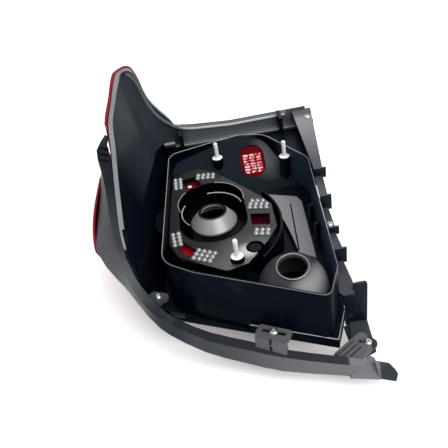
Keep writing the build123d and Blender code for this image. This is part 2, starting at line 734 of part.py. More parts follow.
# shroud that the dish stands in
with BuildPart() as shroud:
    with BuildSketch(Plane.XY.offset(DECK_Z)):
        with Locations((DISH_X, WELL_Y)):
            SlotOverall(WELL_LENGTH + 2 * SHEET, WELL_WIDTH + 2 * SHEET, rotation=90)
            SlotOverall(WELL_LENGTH, WELL_WIDTH, rotation=90, mode=Mode.SUBTRACT)
    extrude(amount=BEZEL_Z - SHEET - DECK_Z)
    with BuildSketch(Plane.XY.offset(DISH_SEAT_Z)):
        with Locations((DISH_X, WELL_Y)):
            SlotOverall(WELL_LENGTH + SHEET, WELL_WIDTH + SHEET, rotation=90)
        with Locations((DISH_X, DISH_Y)):
            Circle(DISH_R - 3, mode=Mode.SUBTRACT)
    extrude(amount=-SHEET)
    # flange that carries the red filter
    with BuildSketch(Plane.XY.offset(FILTER_Z - SHEET)):
        with Locations((DISH_X, WELL_Y)):
            SlotOverall(WELL_LENGTH + 10, WELL_WIDTH + 10, rotation=90)
            SlotOverall(WELL_LENGTH, WELL_WIDTH, rotation=90, mode=Mode.SUBTRACT)
    extrude(amount=-SHEET)
    # cut-away inner walls round the dish
    with BuildSketch(Plane.XY.offset(DISH_SEAT_Z)):
        with BuildLine():
            CenterArc((DISH_X, DISH_Y), DISH_R + 8, 10, 85)
        trace(line_width=SHEET)
        with BuildLine():
            CenterArc((DISH_X, DISH_Y), DISH_R + 8, 150, 70)
        trace(line_width=SHEET)
    extrude(amount=17)

# dish
with BuildPart() as dish:
    with BuildSketch(Plane((DISH_X, DISH_Y, 0), (1, 0, 0), (0, -1, 0))):
        with BuildLine():
            Polyline(
                (DISH_R - 2, DISH_SEAT_Z), (DISH_R, DISH_SEAT_Z), (DISH_R, DISH_SEAT_Z + 2),
                (DISH_BORE_R + 2.5, DISH_TOP_Z), (DISH_BORE_R, DISH_TOP_Z), (DISH_BORE_R, DISH_TOP_Z - 3),
                (DISH_R - 2, DISH_SEAT_Z + 1), close=True
            )
        make_face()
    revolve(axis=Axis((DISH_X, DISH_Y, 0), (0, 0, 1)))

# dome
dome_axis = Plane(origin=(DOME_X, DOME_Y, DOME_Z)).rotated((DOME_TILT, 0, 0))
dome_rise = (DOME_R**2 - (DOME_BORE_R + COLLAR_WALL) ** 2) ** 0.5
with BuildPart() as dome:
    with Locations((DOME_X, DOME_Y, DOME_Z)):
        Sphere(DOME_R)
    with BuildSketch(dome_axis):
        Circle(DOME_BORE_R + COLLAR_WALL)
    extrude(amount=dome_rise + COLLAR)
    with Locations((DOME_X, DOME_Y, DOME_Z)):
        Sphere(DOME_R - WALL, mode=Mode.SUBTRACT)
    with BuildSketch(dome_axis):
        Circle(DOME_BORE_R)
    extrude(amount=dome_rise + COLLAR + 5, mode=Mode.SUBTRACT)
    with BuildSketch(Plane.XY.offset(DECK_Z)):
        Rectangle(500, 500)
    extrude(amount=-60, mode=Mode.SUBTRACT)

# ribbed optic behind the window
with BuildPart() as window_optic:
    with BuildSketch(panel_plane.offset(-WALL)):
        with Locations((WINDOW_X, -WINDOW_S)):
            RectangleRounded(WINDOW_WIDTH + 3, WINDOW_LENGTH + 3, 6)
    extrude(amount=-SHEET)
    with BuildSketch(panel_plane.offset(-WALL)):
        with Locations((WINDOW_X, -WINDOW_S - 3)):
            with GridLocations(8, 4, 3, 7):
                Rectangle(6.5, 2.6)
    extrude(amount=1.2)

# red filter under the bezel
with BuildPart() as inner_filter:
    with BuildSketch(Plane.XY.offset(FILTER_Z)):
        add(bezel_outline.sketch)
        offset(amount=-1.5, mode=Mode.REPLACE)
        with Locations((DISH_X, WELL_Y)):
            SlotOverall(
                WELL_LENGTH + FILTER_BAND, WELL_WIDTH + FILTER_BAND, rotation=90, mode=Mode.INTERSECT
            )
            SlotOverall(
                WELL_LENGTH + 2 * (SHEET + FIT), WELL_WIDTH + 2 * (SHEET + FIT), rotation=90,
                mode=Mode.SUBTRACT
            )
        with Locations((NOTCH_X, NOTCH_Y)):
            Circle(9.5, mode=Mode.SUBTRACT)
        with Locations((0, 0)):
            Circle(STUD_FLANGE_R + 1, mode=Mode.SUBTRACT)
    extrude(amount=-SHEET)

# grey plate with its slit
with BuildPart() as shield_plate:
    with BuildSketch(Plane.XY.offset(SHIELD_Z)):
        with BuildLine():
            Polyline((44.5, 143.5), (84, 126), (88, 114), (81.5, 10), (66, 23.5))
            Spline((66, 23.5), (64.5, 50), (60.5, 85), (44.5, 143.5))
        make_face()
        with Locations(Location((70.5, 70), 85)):
            SlotOverall(88, 1.6, mode=Mode.SUBTRACT)
    extrude(amount=-SHEET)

# locating studs
studs = {}
for name, (x, y) in STUDS.items():
    with BuildPart() as stud:
        with BuildSketch(Plane((x, y, 0), (1, 0, 0), (0, -1, 0))):
            with BuildLine():
                Polyline(
                    (0, -STUD_FLANGE - SPIGOT), (SPIGOT_R, -STUD_FLANGE - SPIGOT), (SPIGOT_R, -STUD_FLANGE),
                    (STUD_FLANGE_R - 0.8, -STUD_FLANGE), (STUD_FLANGE_R, -0.8), (STUD_R, 0),
                    (STUD_R, STUD_LENGTH - 4), (STUD_R - 0.9, STUD_LENGTH - 3.6),
                    (STUD_R - 0.9, STUD_LENGTH - 3), (STUD_R, STUD_LENGTH - 2.6),
                    (STUD_R, STUD_LENGTH - 0.8), (STUD_R - 0.8, STUD_LENGTH), (0, STUD_LENGTH), close=True
                )
            make_face()
        revolve(axis=Axis((x, y, 0), (0, 0, 1)))
    studs[name] = stud

# trim screws
with BuildPart() as trim_screws:
    for x, y, z in SCREWS:
        with BuildSketch(Plane.XY.offset(z)):
            with Locations((x, y)):
                Circle(SCREW_R)
        extrude(amount=-SCREW_LENGTH)
        with Locations((x, y, z)):
            Cylinder(SCREW_HEAD_R, SCREW_HEAD, align=(Align.CENTER, Align.CENTER, Align.MIN))

pieces = {
    "lens": lens,
    "housing": housing,
    "lower_trim": lower_trim,
    "edge_bracket": edge_bracket,
    "bezel": bezel,
    "shroud": shroud,
    "dish": dish,
    "dome": dome,
    "window_optic": window_optic,
    "inner_filter": inner_filter,
    "shield_plate": shield_plate,
    **studs,
    "trim_screws": trim_screws,
}
for name, piece in pieces.items():
    piece.part.label = name
    export_step(piece.part, f"parts/{name}.step")
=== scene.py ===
"""Looks of the tail light cluster: finishes, beads, edges, screws, studio and camera."""

from __future__ import annotations

import logging
import math
from dataclasses import dataclass, field
from enum import Enum
from typing import Any, Optional, Sequence, Union

import bpy
from mathutils import Matrix, Vector


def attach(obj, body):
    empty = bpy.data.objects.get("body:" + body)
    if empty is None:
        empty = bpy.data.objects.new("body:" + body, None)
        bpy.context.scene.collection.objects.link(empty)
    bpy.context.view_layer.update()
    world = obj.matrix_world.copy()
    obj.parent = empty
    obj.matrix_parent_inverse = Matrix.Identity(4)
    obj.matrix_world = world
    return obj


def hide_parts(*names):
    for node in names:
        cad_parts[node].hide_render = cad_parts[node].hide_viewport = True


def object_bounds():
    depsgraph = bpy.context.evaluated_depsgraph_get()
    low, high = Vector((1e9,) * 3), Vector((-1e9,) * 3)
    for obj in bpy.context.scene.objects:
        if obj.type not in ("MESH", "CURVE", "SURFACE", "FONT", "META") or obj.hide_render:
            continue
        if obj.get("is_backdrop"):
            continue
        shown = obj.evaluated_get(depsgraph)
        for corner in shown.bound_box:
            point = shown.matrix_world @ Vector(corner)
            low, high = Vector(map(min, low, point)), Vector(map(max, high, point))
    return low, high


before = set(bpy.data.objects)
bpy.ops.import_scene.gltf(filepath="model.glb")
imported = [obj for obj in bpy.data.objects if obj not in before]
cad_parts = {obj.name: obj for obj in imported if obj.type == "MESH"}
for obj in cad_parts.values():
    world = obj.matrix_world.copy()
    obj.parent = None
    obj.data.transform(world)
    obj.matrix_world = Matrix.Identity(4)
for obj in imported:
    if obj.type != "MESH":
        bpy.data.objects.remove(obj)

LOG = logging.getLogger("tail_light_cluster")
MM = 0.001
BODY = "root"

# rings narrower than this are one point
POINT_RADIUS = 1e-7

Rgb = tuple[float, float, float]
Point = tuple[float, float, float]
Corner = tuple[float, float, float]
Range = tuple[float, float]
Profile = Sequence[tuple[float, float]]

ORIGIN: Point = (0.0, 0.0, 0.0)
RIGHT: Point = (1.0, 0.0, 0.0)
LEFT: Point = (-1.0, 0.0, 0.0)
FAR: Point = (0.0, 1.0, 0.0)
NEAR: Point = (0.0, -1.0, 0.0)
UP: Point = (0.0, 0.0, 1.0)

# sockets of the Mix node when it mixes colours
MIX_SHARE, MIX_LOW, MIX_HIGH, MIX_RESULT = 0, 6, 7, 2


class Slot(Enum):
    """Material slots of the record."""

    RED_LENS = "red_lens"
    BLACK_MOULDING = "black_moulding"
    TRIM_MOULDING = "trim_moulding"
    SILVER_BEZEL = "silver_bezel"
    GREY_DISH = "grey_dish"
    GREY_DOME = "grey_dome"
    RED_OPTIC = "red_optic"
    GREY_PLATE = "grey_plate"
    WHITE_STUD = "white_stud"
    ZINC_SCREW = "zinc_screw"


class Look(Enum):
    """Finishes that the pieces are dressed in."""

    LENS = "lens_red"
    HOUSING = "housing_black"
    SHROUD = "shroud_black"
    EDGE = "moulded_edge_highlight"
    ROLL = "rim_highlight_roll"
    TRIM = "trim_grey"
    BRACKET = "bracket_grey"
    BEZEL = "bezel_silver"
    BEAD = "bead_silver"
    DISH = "dish_silver"
    DOME = "dome_grey"
    OPTIC = "optic_red"
    FILTER = "filter_red"
    PLATE = "plate_grey"
    STUD = "stud_white"
    SCREW = "screw_zinc"


@dataclass(frozen=True)
class Step:
    """Soft step from nought to one: its middle and its width."""

    level: float
    soft: float


@dataclass(frozen=True)
class Grain:
    """Soft noise: lumps in each metre, octaves, a shift that tells two noises apart, and a stretch."""

    scale: float
    detail: float = 3.0
    seed: float = 0.0
    stretch: Point = (1.0, 1.0, 1.0)


class Field:
    """A value that changes over a surface: one output socket, with arithmetic."""

    def __init__(self, paint: Paint, socket: bpy.types.NodeSocket) -> None:
        """Keeps the socket and the paint whose tree it is in.

        Args:
            paint: Paint that adds the nodes.
            socket: Output socket that carries the value.
        """
        self.paint = paint
        self.socket = socket

    def _math(self, operation: str, first: Value, second: Value) -> Field:
        """Adds one Math node."""
        return self.paint.node("ShaderNodeMath", {"operation": operation}, {0: first, 1: second})

    def __add__(self, other: Value) -> Field:
        """Sum."""
        return self._math("ADD", self, other)

    def __radd__(self, other: Value) -> Field:
        """Sum with a number on the left."""
        return self._math("ADD", other, self)

    def __sub__(self, other: Value) -> Field:
        """Difference."""
        return self._math("SUBTRACT", self, other)

    def __rsub__(self, other: Value) -> Field:
        """Difference from a number on the left."""
        return self._math("SUBTRACT", other, self)

    def __mul__(self, other: Value) -> Field:
        """Product."""
        return self._math("MULTIPLY", self, other)

    def __rmul__(self, other: Value) -> Field:
        """Product with a number on the left."""
        return self._math("MULTIPLY", other, self)

    def clipped(self) -> Field:
        """The value held between nought and one."""
        return self.paint.node("ShaderNodeClamp", {}, {"Value": self})

    def above(self, step: Step) -> Field:
        """Mask that is nought below a soft step and one above it."""
        return ((self - step.level) * (1.0 / step.soft) + 0.5).clipped()

    def below(self, step: Step) -> Field:
        """Mask that is one below a soft step and nought above it."""
        return 1.0 - self.above(step)

    def ranged(self, ends: Range) -> Field:
        """The value stretched, so that nought and one become the two ends."""
        return self * (ends[1] - ends[0]) + ends[0]

    def around(self, middle: float, spread: float) -> Field:
        """The value stretched to a spread about a middle."""
        return self * spread + (middle - spread / 2)


Value = Union[Field, float]


class Paint:
    """One procedural material and its node tree."""

    def __init__(self, name: str) -> None:
        """Makes an empty material with a Principled shader.

        Args:
            name: Material name.
        """
        self.material = bpy.data.materials.new(name)
        self.material.use_nodes = True
        self.tree = self.material.node_tree
        self.shader = self.tree.nodes["Principled BSDF"]

    def node(
        self,
        kind: str,
        settings: dict[str, Any],
        sockets: dict[Union[str, int], Any],
        output: Union[str, int] = 0,
    ) -> Field:
        """Adds a node.

        Args:
            kind: Blender's type name of the node.
            settings: Attributes that are set first.
            sockets: Values or links of the input sockets, by name or number.
            output: Output socket that is returned.

        Returns:
            The chosen output as a field.
        """
        made = self.tree.nodes.new(kind)
        for key, value in settings.items():
            setattr(made, key, value)
        for key, value in sockets.items():
            self.feed(made.inputs[key], value)
        return Field(self, made.outputs[output])

    def feed(self, socket: bpy.types.NodeSocket, value: Any) -> None:
        """Links a field to a socket, or sets the socket's own value.

        Args:
            socket: Input socket.
            value: Field, number, colour or vector.
        """
        if isinstance(value, Field):
            self.tree.links.new(value.socket, socket)
        elif isinstance(value, (int, float)):
            socket.default_value = value
        elif len(socket.default_value) == 4:
            socket.default_value = (*value, 1.0)
        else:
            socket.default_value = value

    def surface(self, **values: Any) -> None:
        """Feeds the Principled shader; underscores in the names stand for spaces."""
        for key, value in values.items():
            self.feed(self.shader.inputs[key.replace("_", " ")], value)

    def vector(self, operation: str, first: Any, second: Any, output: str = "Vector") -> Field:
        """Adds one Vector Math node.

        Args:
            operation: Blender's name of the operation.
            first: First vector or field.
            second: Second vector or field.
            output: Output socket that is returned.

        Returns:
            The result.
        """
        return self.node("ShaderNodeVectorMath", {"operation": operation}, {0: first, 1: second}, output)

    def place(self) -> Field:
        """Coordinates of the surface in the object's own frame."""
        return self.node("ShaderNodeTexCoord", {}, {}, "Object")

    def along(self, origin: Point, direction: Point) -> Field:
        """Distance of the surface from a point, measured along a direction.

        Args:
            origin: Point where the distance is nought.
            direction: Unit vector.

        Returns:
            The distance in metres.
        """
        shift = self.vector("SUBTRACT", self.place(), origin)
        return self.vector("DOT_PRODUCT", shift, direction, "Value")

    def across(self) -> Field:
        """Distance to the right of the frame's origin."""
        return self.along(ORIGIN, RIGHT)

    def depth(self) -> Field:
        """Distance beyond the frame's origin, towards the far wall."""
        return self.along(ORIGIN, FAR)

    def height(self) -> Field:
        """Distance above the frame's origin."""
        return self.along(ORIGIN, UP)

    def away(self, middle: Point) -> Field:
        """Level distance of the surface from an upright axis.

        Args:
            middle: Point on the axis.

        Returns:
            The distance in metres.
        """
        across = self.along(middle, RIGHT)
        depth = self.along(middle, FAR)
        return self.node("ShaderNodeMath", {"operation": "SQRT"}, {0: across * across + depth * depth})

    def noise(self, grain: Grain) -> Field:
        """Soft noise over the surface.

        Args:
            grain: Kind of noise.

        Returns:
            Noise from nought to one.
        """
        drawn = self.vector("MULTIPLY", self.place(), grain.stretch)
        shift = self.vector("ADD", drawn, (grain.seed, grain.seed, grain.seed))
        sockets = {"Vector": shift, "Scale": grain.scale, "Detail": grain.detail}
        return self.node("ShaderNodeTexNoise", {}, sockets)

    def facing(self, direction: Point) -> Field:
        """How far the surface faces a direction.

        Args:
            direction: Unit vector.

        Returns:
            One where it faces straight that way, nought where it is edge on or turned away.
        """
        normal = self.node("ShaderNodeNewGeometry", {}, {}, "Normal")
        return self.vector("DOT_PRODUCT", normal, direction, "Value").clipped()

    def upward(self) -> Field:
        """How far the surface faces up: one on a level top, nought on walls and undersides."""
        return self.facing(UP)

    def mixed(self, share: Field, low: Any, high: Any) -> Field:
        """Colour between two colours.

        Args:
            share: Nought gives low, one gives high.
            low: First colour or field.
            high: Second colour or field.

        Returns:
            The mixed colour.
        """
        sockets = {MIX_SHARE: share, MIX_LOW: low, MIX_HIGH: high}
        return self.node("ShaderNodeMix", {"data_type": "RGBA"}, sockets, MIX_RESULT)

    def bump(self, height: Field, strength: float, distance: float) -> None:
        """Feeds fine relief to the shader's normal."""
        sockets = {"Strength": strength, "Distance": distance, "Height": height}
        self.surface(Normal=self.node("ShaderNodeBump", {}, sockets, "Normal"))


@dataclass(frozen=True)
class Moulding:
    """Moulded plastic with a fine grain, faint scuffs, and a second colour where it faces up: dust on
    most pieces, painted light on the bracket's treads, painted shade on the dome's top.
    """

    colour: Rgb
    dust_and_top_lighting: Rgb
    dust_and_top_lighting_share: float
    roughness: float
    roughness_spread: float = 0.12
    scuff: float = 0.25
    gloss: float = 0.4
    dust_and_top_lighting_grain: Grain = Grain(18.0, 4.0)
    dust_and_top_lighting_range: Range = (0.65, 1.35)
    scuff_grain: Grain = Grain(70.0, 3.0, 5.0, (1.0, 0.16, 1.0))
    scuff_step: Step = Step(0.66, 0.10)
    shine_grain: Grain = Grain(26.0, 4.0, 1.0)
    relief_grain: Grain = Grain(900.0, 2.0, 3.0)
    relief: float = 0.04
    relief_depth: float = 0.4 * MM

    def tint(self, paint: Paint) -> Field:
        """Colour over the surface.

        Args:
            paint: Paint that gets the nodes.

        Returns:
            The colour.
        """
        # Faces that look up take the second colour in patches: dust on most pieces, painted light on the
        # bracket's treads, painted shade on the dome's top.
        patches = paint.noise(self.dust_and_top_lighting_grain).ranged(self.dust_and_top_lighting_range)
        lift = (paint.upward() * patches * self.dust_and_top_lighting_share).clipped()
        dusty_and_top_lit = paint.mixed(lift, self.colour, self.dust_and_top_lighting)
        streaks = paint.noise(self.scuff_grain).above(self.scuff_step)
        return paint.mixed(streaks * self.scuff, dusty_and_top_lit, self.dust_and_top_lighting)

    def build(self, name: str) -> bpy.types.Material:
        """Makes the material.

        Args:
            name: Material name.

        Returns:
            The material.
        """
        paint = Paint(name)
        paint.surface(
            Base_Color=self.tint(paint),
            Roughness=paint.noise(self.shine_grain).around(self.roughness, self.roughness_spread),
            Specular_IOR_Level=self.gloss,
        )
        paint.bump(paint.noise(self.relief_grain), self.relief, self.relief_depth)
        return paint.material


@dataclass(frozen=True)
class RollHighlight(Moulding):
    """The roll under the far rim, a painted highlight: pale along the wall, a dimmer grey where it
    climbs the horn.
    """

    climb: Rgb = (0.100, 0.114, 0.120)
    wall_across: Step = Step(-41.0 * MM, 26.0 * MM)

    def tint(self, paint: Paint) -> Field:
        """Colour over the surface."""
        climbing = paint.across().below(self.wall_across)
        return paint.mixed(climbing, super().tint(paint), self.climb)


@dataclass(frozen=True)
class HousingMoulding(Moulding):
    """The housing's black plastic, with painted light at the far end, on the far wall and on the right
    wall, dark ribs, painted highlights on its rims and a painted sheen on its panel.
    """

    # Painted light: a patchy painted reflection above the rim at the far end.
    far_light: Rgb = (0.030, 0.035, 0.043)
    far_light_height: Step = Step(8.6 * MM, 1.0 * MM)
    far_light_depth: Step = Step(140.0 * MM, 80.0 * MM)
    far_light_grain: Grain = Grain(14.0, 3.0, 6.0)
    far_light_range: Range = (0.5, 1.1)
    # Painted light on the far wall.
    wall: Rgb = (0.095, 0.102, 0.110)
    wall_share: float = 0.6
    wall_across: Step = Step(-40.0 * MM, 16.0 * MM)
    wall_depth: Step = Step(226.0 * MM, 6.0 * MM)
    wall_height: Step = Step(5.0 * MM, 4.0 * MM)
    # Painted light on the right wall's inner face.
    right: Rgb = (0.024, 0.040, 0.070)
    right_across: Step = Step(78.0 * MM, 10.0 * MM)
    right_facing: Step = Step(0.6, 0.3)
    # Colour of the painted highlights on the rims and the ledge's crest.
    rim: Rgb = (0.24, 0.25, 0.265)
    rim_share: float = 0.9
    rim_height: Step = Step(19.0 * MM, 2.0 * MM)
    rim_grain: Grain = Grain(30.0, 3.0, 8.0)
    rim_range: Range = (0.6, 1.1)
    far_lean: Point = (0.0, 1.0, -0.08)
    top_edge: Step = Step(246.6 * MM, 0.4 * MM)
    top_facing: Step = Step(0.45, 0.3)
    horn_across: Step = Step(-55.0 * MM, 2.0 * MM)
    lip_near: Step = Step(242.2 * MM, 0.4 * MM)
    lip_far: Step = Step(243.8 * MM, 0.4 * MM)
    lip_facing: Step = Step(0.6, 0.2)
    lip_across: Step = Step(-42.0 * MM, 2.0 * MM)
    crest_faces: Point = (0.0, -0.64, 0.768)
    crest_facing: Step = Step(0.94, 0.06)
    crest_near: Step = Step(230.5 * MM, 0.4 * MM)
    crest_far: Step = Step(236.0 * MM, 1.0 * MM)
    crest_height: Step = Step(3.0 * MM, 1.0 * MM)
    rib: Rgb = (0.0025, 0.004, 0.008)
    rib_places: tuple[float, ...] = (-43.0 * MM, 88.0 * MM)
    rib_half: float = 2.45 * MM
    rib_soft: float = 0.2 * MM
    rib_depth: Step = Step(225.0 * MM, 0.4 * MM)
    rib_top: Step = Step(24.6 * MM, 0.4 * MM)
    panel: Rgb = (0.009, 0.0125, 0.0165)
    panel_faces: Point = (0.0, -0.545, 0.839)
    panel_facing: Step = Step(0.985, 0.02)
    # Painted sheen round the window on the panel.
    sheen: Rgb = (0.075, 0.080, 0.087)
    sheen_middle: Point = (63.0 * MM, 200.0 * MM, 0.0)
    sheen_edge: Step = Step(20.0 * MM, 20.0 * MM)

    def lit_far_and_right(self, paint: Paint) -> Field:
        """Black plastic with painted light: a patchy painted reflection at the far end, and painted
        light on the far wall and on the right wall's inner face.

        Args:
            paint: Paint that gets the nodes.

        Returns:
            The colour.
        """
        across, depth, height = paint.across(), paint.depth(), paint.height()
        # Patchy painted reflection above the rim at the far end.
        patches = paint.noise(self.far_light_grain).ranged(self.far_light_range)
        far = height.above(self.far_light_height) * depth.above(self.far_light_depth) * patches
        far_lit = paint.mixed(far, super().tint(paint), self.far_light)
        # Painted light on the far wall's inner face.
        wall = depth.above(self.wall_depth) * across.above(self.wall_across)
        wall = wall * height.above(self.wall_height) * self.wall_share
        # Painted light on the right wall's inner face.
        right = across.above(self.right_across) * paint.facing(LEFT).above(self.right_facing)
        return paint.mixed(right, paint.mixed(wall, far_lit, self.wall), self.right)

    def painted_rim_highlights(self, paint: Paint) -> Field:
        """Where the painted highlights lie: on the rim of the horn, the lip of the far wall and the
        ledge's crest.

        Args:
            paint: Paint that gets the nodes.

        Returns:
            The mask.
        """
        across, depth, height = paint.across(), paint.depth(), paint.height()
        leaning = paint.along(ORIGIN, self.far_lean)
        top = paint.upward().above(self.top_facing) * leaning.below(self.top_edge)
        top = top * across.below(self.horn_across)
        lip = leaning.above(self.lip_near) * leaning.below(self.lip_far)
        lip = lip * paint.facing(NEAR).above(self.lip_facing) * across.above(self.lip_across)
        patches = paint.noise(self.rim_grain).ranged(self.rim_range)
        rims = (top + lip) * height.above(self.rim_height) * patches
        crest = paint.facing(self.crest_faces).above(self.crest_facing) * height.above(self.crest_height)
        crest = crest * depth.above(self.crest_near) * depth.below(self.crest_far)
        return ((rims + crest) * self.rim_share).clipped()

    def ribbed(self, paint: Paint) -> Field:
        """Where the two ribs stand on the ledge.

        Args:
            paint: Paint that gets the nodes.

        Returns:
            The mask.
        """
        across = paint.across()
        ribs: Value = 0.0
        for place in self.rib_places:
            left = Step(place - self.rib_half, self.rib_soft)
            right = Step(place + self.rib_half, self.rib_soft)
            ribs = ribs + across.above(left) * across.below(right)
        return ribs * paint.depth().above(self.rib_depth) * paint.height().below(self.rib_top)

    def tint(self, paint: Paint) -> Field:
        """Colour over the surface.

        Args:
            paint: Paint that gets the nodes.

        Returns:
            The colour.
        """
        # Painted highlights on the rims and the ledge's crest.
        walls = paint.mixed(self.painted_rim_highlights(paint), self.lit_far_and_right(paint), self.rim)
        walls = paint.mixed(self.ribbed(paint), walls, self.rib)
        low = paint.height().below(self.far_light_height)
        panel = paint.facing(self.panel_faces).above(self.panel_facing) * low
        # Painted sheen round the window on the panel.
        spot = paint.away(self.sheen_middle).below(self.sheen_edge)
        return paint.mixed(panel, walls, paint.mixed(spot, self.panel, self.sheen))


@dataclass(frozen=True)
class TrimMoulding(Moulding):
    """The strip's grey plastic: painted light towards the right and on its gusset, painted shade on its
    inner band, and darker round the left corner, on its tab and on its end block.
    """

    dark: Rgb = (0.008, 0.010, 0.015)
    # Painted light towards the right.
    right: Rgb = (0.120, 0.125, 0.134)
    right_across: Step = Step(15.0 * MM, 110.0 * MM)
    corner: Rgb = (0.020, 0.023, 0.029)
    corner_middle: Point = (-84.0 * MM, -38.0 * MM, 0.0)
    corner_edge: Step = Step(22.0 * MM, 22.0 * MM)
    tab_height: Step = Step(34.0 * MM, 44.0 * MM)
    # Painted shade on the inner band.
    band_share: float = 0.9
    band_low: Step = Step(0.42, 0.3)
    band_high: Step = Step(0.95, 0.05)
    band_across: Step = Step(-112.0 * MM, 30.0 * MM)
    # Painted light on the gusset.
    pale: Rgb = (0.135, 0.140, 0.150)
    gusset_faces: Point = (-0.083, -0.694, 0.715)
    gusset_facing: Step = Step(0.99, 0.012)
    gusset_across: Step = Step(84.0 * MM, 2.0 * MM)
    end_share: float = 0.85
    end_across: Step = Step(110.5 * MM, 2.0 * MM)

    def tint(self, paint: Paint) -> Field:
        """Colour over the surface.

        Args:
            paint: Paint that gets the nodes.

        Returns:
            The colour.
        """
        across = paint.across()
        level = paint.upward()
        # Painted light towards the right.
        shaded = paint.mixed(across.above(self.right_across), super().tint(paint), self.right)
        corner = paint.away(self.corner_middle).below(self.corner_edge)
        shaded = paint.mixed(corner, shaded, self.corner)
        shaded = paint.mixed(paint.height().above(self.tab_height), shaded, self.dark)
        # Painted shade on the inner band.
        band = level.above(self.band_low) * level.below(self.band_high)
        banded = paint.mixed(band * across.above(self.band_across) * self.band_share, shaded, self.dark)
        # Painted light on the gusset.
        gusset = paint.facing(self.gusset_faces).above(self.gusset_facing)
        faced = paint.mixed(gusset * across.above(self.gusset_across), banded, self.pale)
        return paint.mixed(across.above(self.end_across) * self.end_share, faced, self.dark)


@dataclass(frozen=True)
class BracketMoulding(Moulding):
    """The bracket's plastic: dark, with painted light on its far tread."""

    # Painted light on the far tread.
    pale: Rgb = (0.17, 0.176, 0.187)
    pale_near: Step = Step(165.0 * MM, 90.0 * MM)
    pale_far: Step = Step(228.0 * MM, 14.0 * MM)
    pale_facing: Step = Step(0.7, 0.3)

    def tint(self, paint: Paint) -> Field:
        """Colour over the surface.

        Args:
            paint: Paint that gets the nodes.

        Returns:
            The colour.
        """
        depth = paint.depth()
        # Painted light on the treads that look up at the far end.
        far = depth.above(self.pale_near) * depth.below(self.pale_far)
        level = paint.upward().above(self.pale_facing)
        return paint.mixed(far * level, super().tint(paint), self.pale)


@dataclass(frozen=True)
class RedPlastic:
    """Clear red plastic seen against the dark, with a painted glow that stands in for light coming
    through.
    """

    colour: Rgb
    deep: Rgb
    glow: float
    roughness: float = 0.16
    gloss: float = 0.25
    cloud: Grain = Grain(60.0, 2.0)

    def tint(self, paint: Paint) -> Field:
        """Colour over the surface."""
        return paint.mixed(paint.noise(self.cloud), self.deep, self.colour)

    def build(self, name: str) -> bpy.types.Material:
        """Makes the material.

        Args:
            name: Material name.

        Returns:
            The material.
        """
        paint = Paint(name)
        tint = self.tint(paint)
        paint.surface(
            Base_Color=tint,
            Roughness=self.roughness,
            Specular_IOR_Level=self.gloss,
            # Painted glow: the plastic emits its own colour.
            Emission_Color=tint,
            Emission_Strength=self.glow,
        )
        return paint.material


@dataclass(frozen=True)
class LensPlastic(RedPlastic):
    """The outer lens: dark low down, where no light comes through it."""

    inside: Rgb = (0.010, 0.001, 0.002)
    lit_height: Step = Step(-50.0 * MM, 16.0 * MM)
    inside_facing: Step = Step(0.6, 0.3)
    inside_range: Range = (0.8, 1.0)

    def tint(self, paint: Paint) -> Field:
        """Colour over the surface.

        Args:
            paint: Paint that gets the nodes.

        Returns:
            The colour.
        """
        low = paint.height().below(self.lit_height)
        shade = low * paint.upward().above(self.inside_facing).ranged(self.inside_range)
        return paint.mixed(shade, super().tint(paint), self.inside)


@dataclass(frozen=True)
class OpticPlastic(RedPlastic):
    """The optic behind the window: deep red, with painted light on its raised blocks and painted glints
    on them.
    """

    facet: Rgb = (0.42, 0.012, 0.030)
    plane_point: Point = (0.0, 230.0 * MM, 7.0 * MM)
    tilt_deg: float = 33.0
    facet_rise: Step = Step(-1.9 * MM, 0.4 * MM)
    glint: Rgb = (0.95, 0.50, 0.52)
    glint_grain: Grain = Grain(260.0, 1.0, 2.0)
    glint_step: Step = Step(0.5, 0.16)

    def tint(self, paint: Paint) -> Field:
        """Colour over the surface.

        Args:
            paint: Paint that gets the nodes.

        Returns:
            The colour.
        """
        tilt = math.radians(self.tilt_deg)
        outward = (0.0, -math.sin(tilt), math.cos(tilt))
        # Painted light on the raised blocks, and painted glints in patches on them.
        raised = paint.along(self.plane_point, outward).above(self.facet_rise)
        glint = paint.noise(self.glint_grain).above(self.glint_step)
        faceted = paint.mixed(raised, super().tint(paint), self.facet)
        return paint.mixed(raised * glint, faceted, self.glint)


@dataclass(frozen=True)
class FilterPlastic(RedPlastic):
    """The red filter under the bezel: bright under the left windows, with painted shade at its edges, on
    the right and at the far end, and a painted reflection under the upper left window.
    """

    dark: Rgb = (0.035, 0.002, 0.006)
    edge_facing: Step = Step(0.5, 0.3)
    right_across: Step = Step(8.0 * MM, 10.0 * MM)
    far_depth: Step = Step(110.0 * MM, 10.0 * MM)
    far_share: float = 0.75
    glint: Rgb = (0.85, 0.80, 0.80)
    glint_middle: Point = (-41.0 * MM, 163.0 * MM, 0.0)
    glint_edge: Step = Step(2.6 * MM, 0.6 * MM)

    def tint(self, paint: Paint) -> Field:
        """Colour over the surface.

        Args:
            paint: Paint that gets the nodes.

        Returns:
            The colour.
        """
        # Painted shade on the side faces, on the right and at the far end.
        edge = paint.upward().below(self.edge_facing)
        right = paint.across().above(self.right_across)
        far = paint.depth().above(self.far_depth) * self.far_share
        shaded = paint.mixed((edge + right + far).clipped(), super().tint(paint), self.dark)
        # Painted reflection: a pale glint under the upper left window.
        spot = paint.away(self.glint_middle).below(self.glint_edge)
        return paint.mixed(spot * (1.0 - edge), shaded, self.glint)


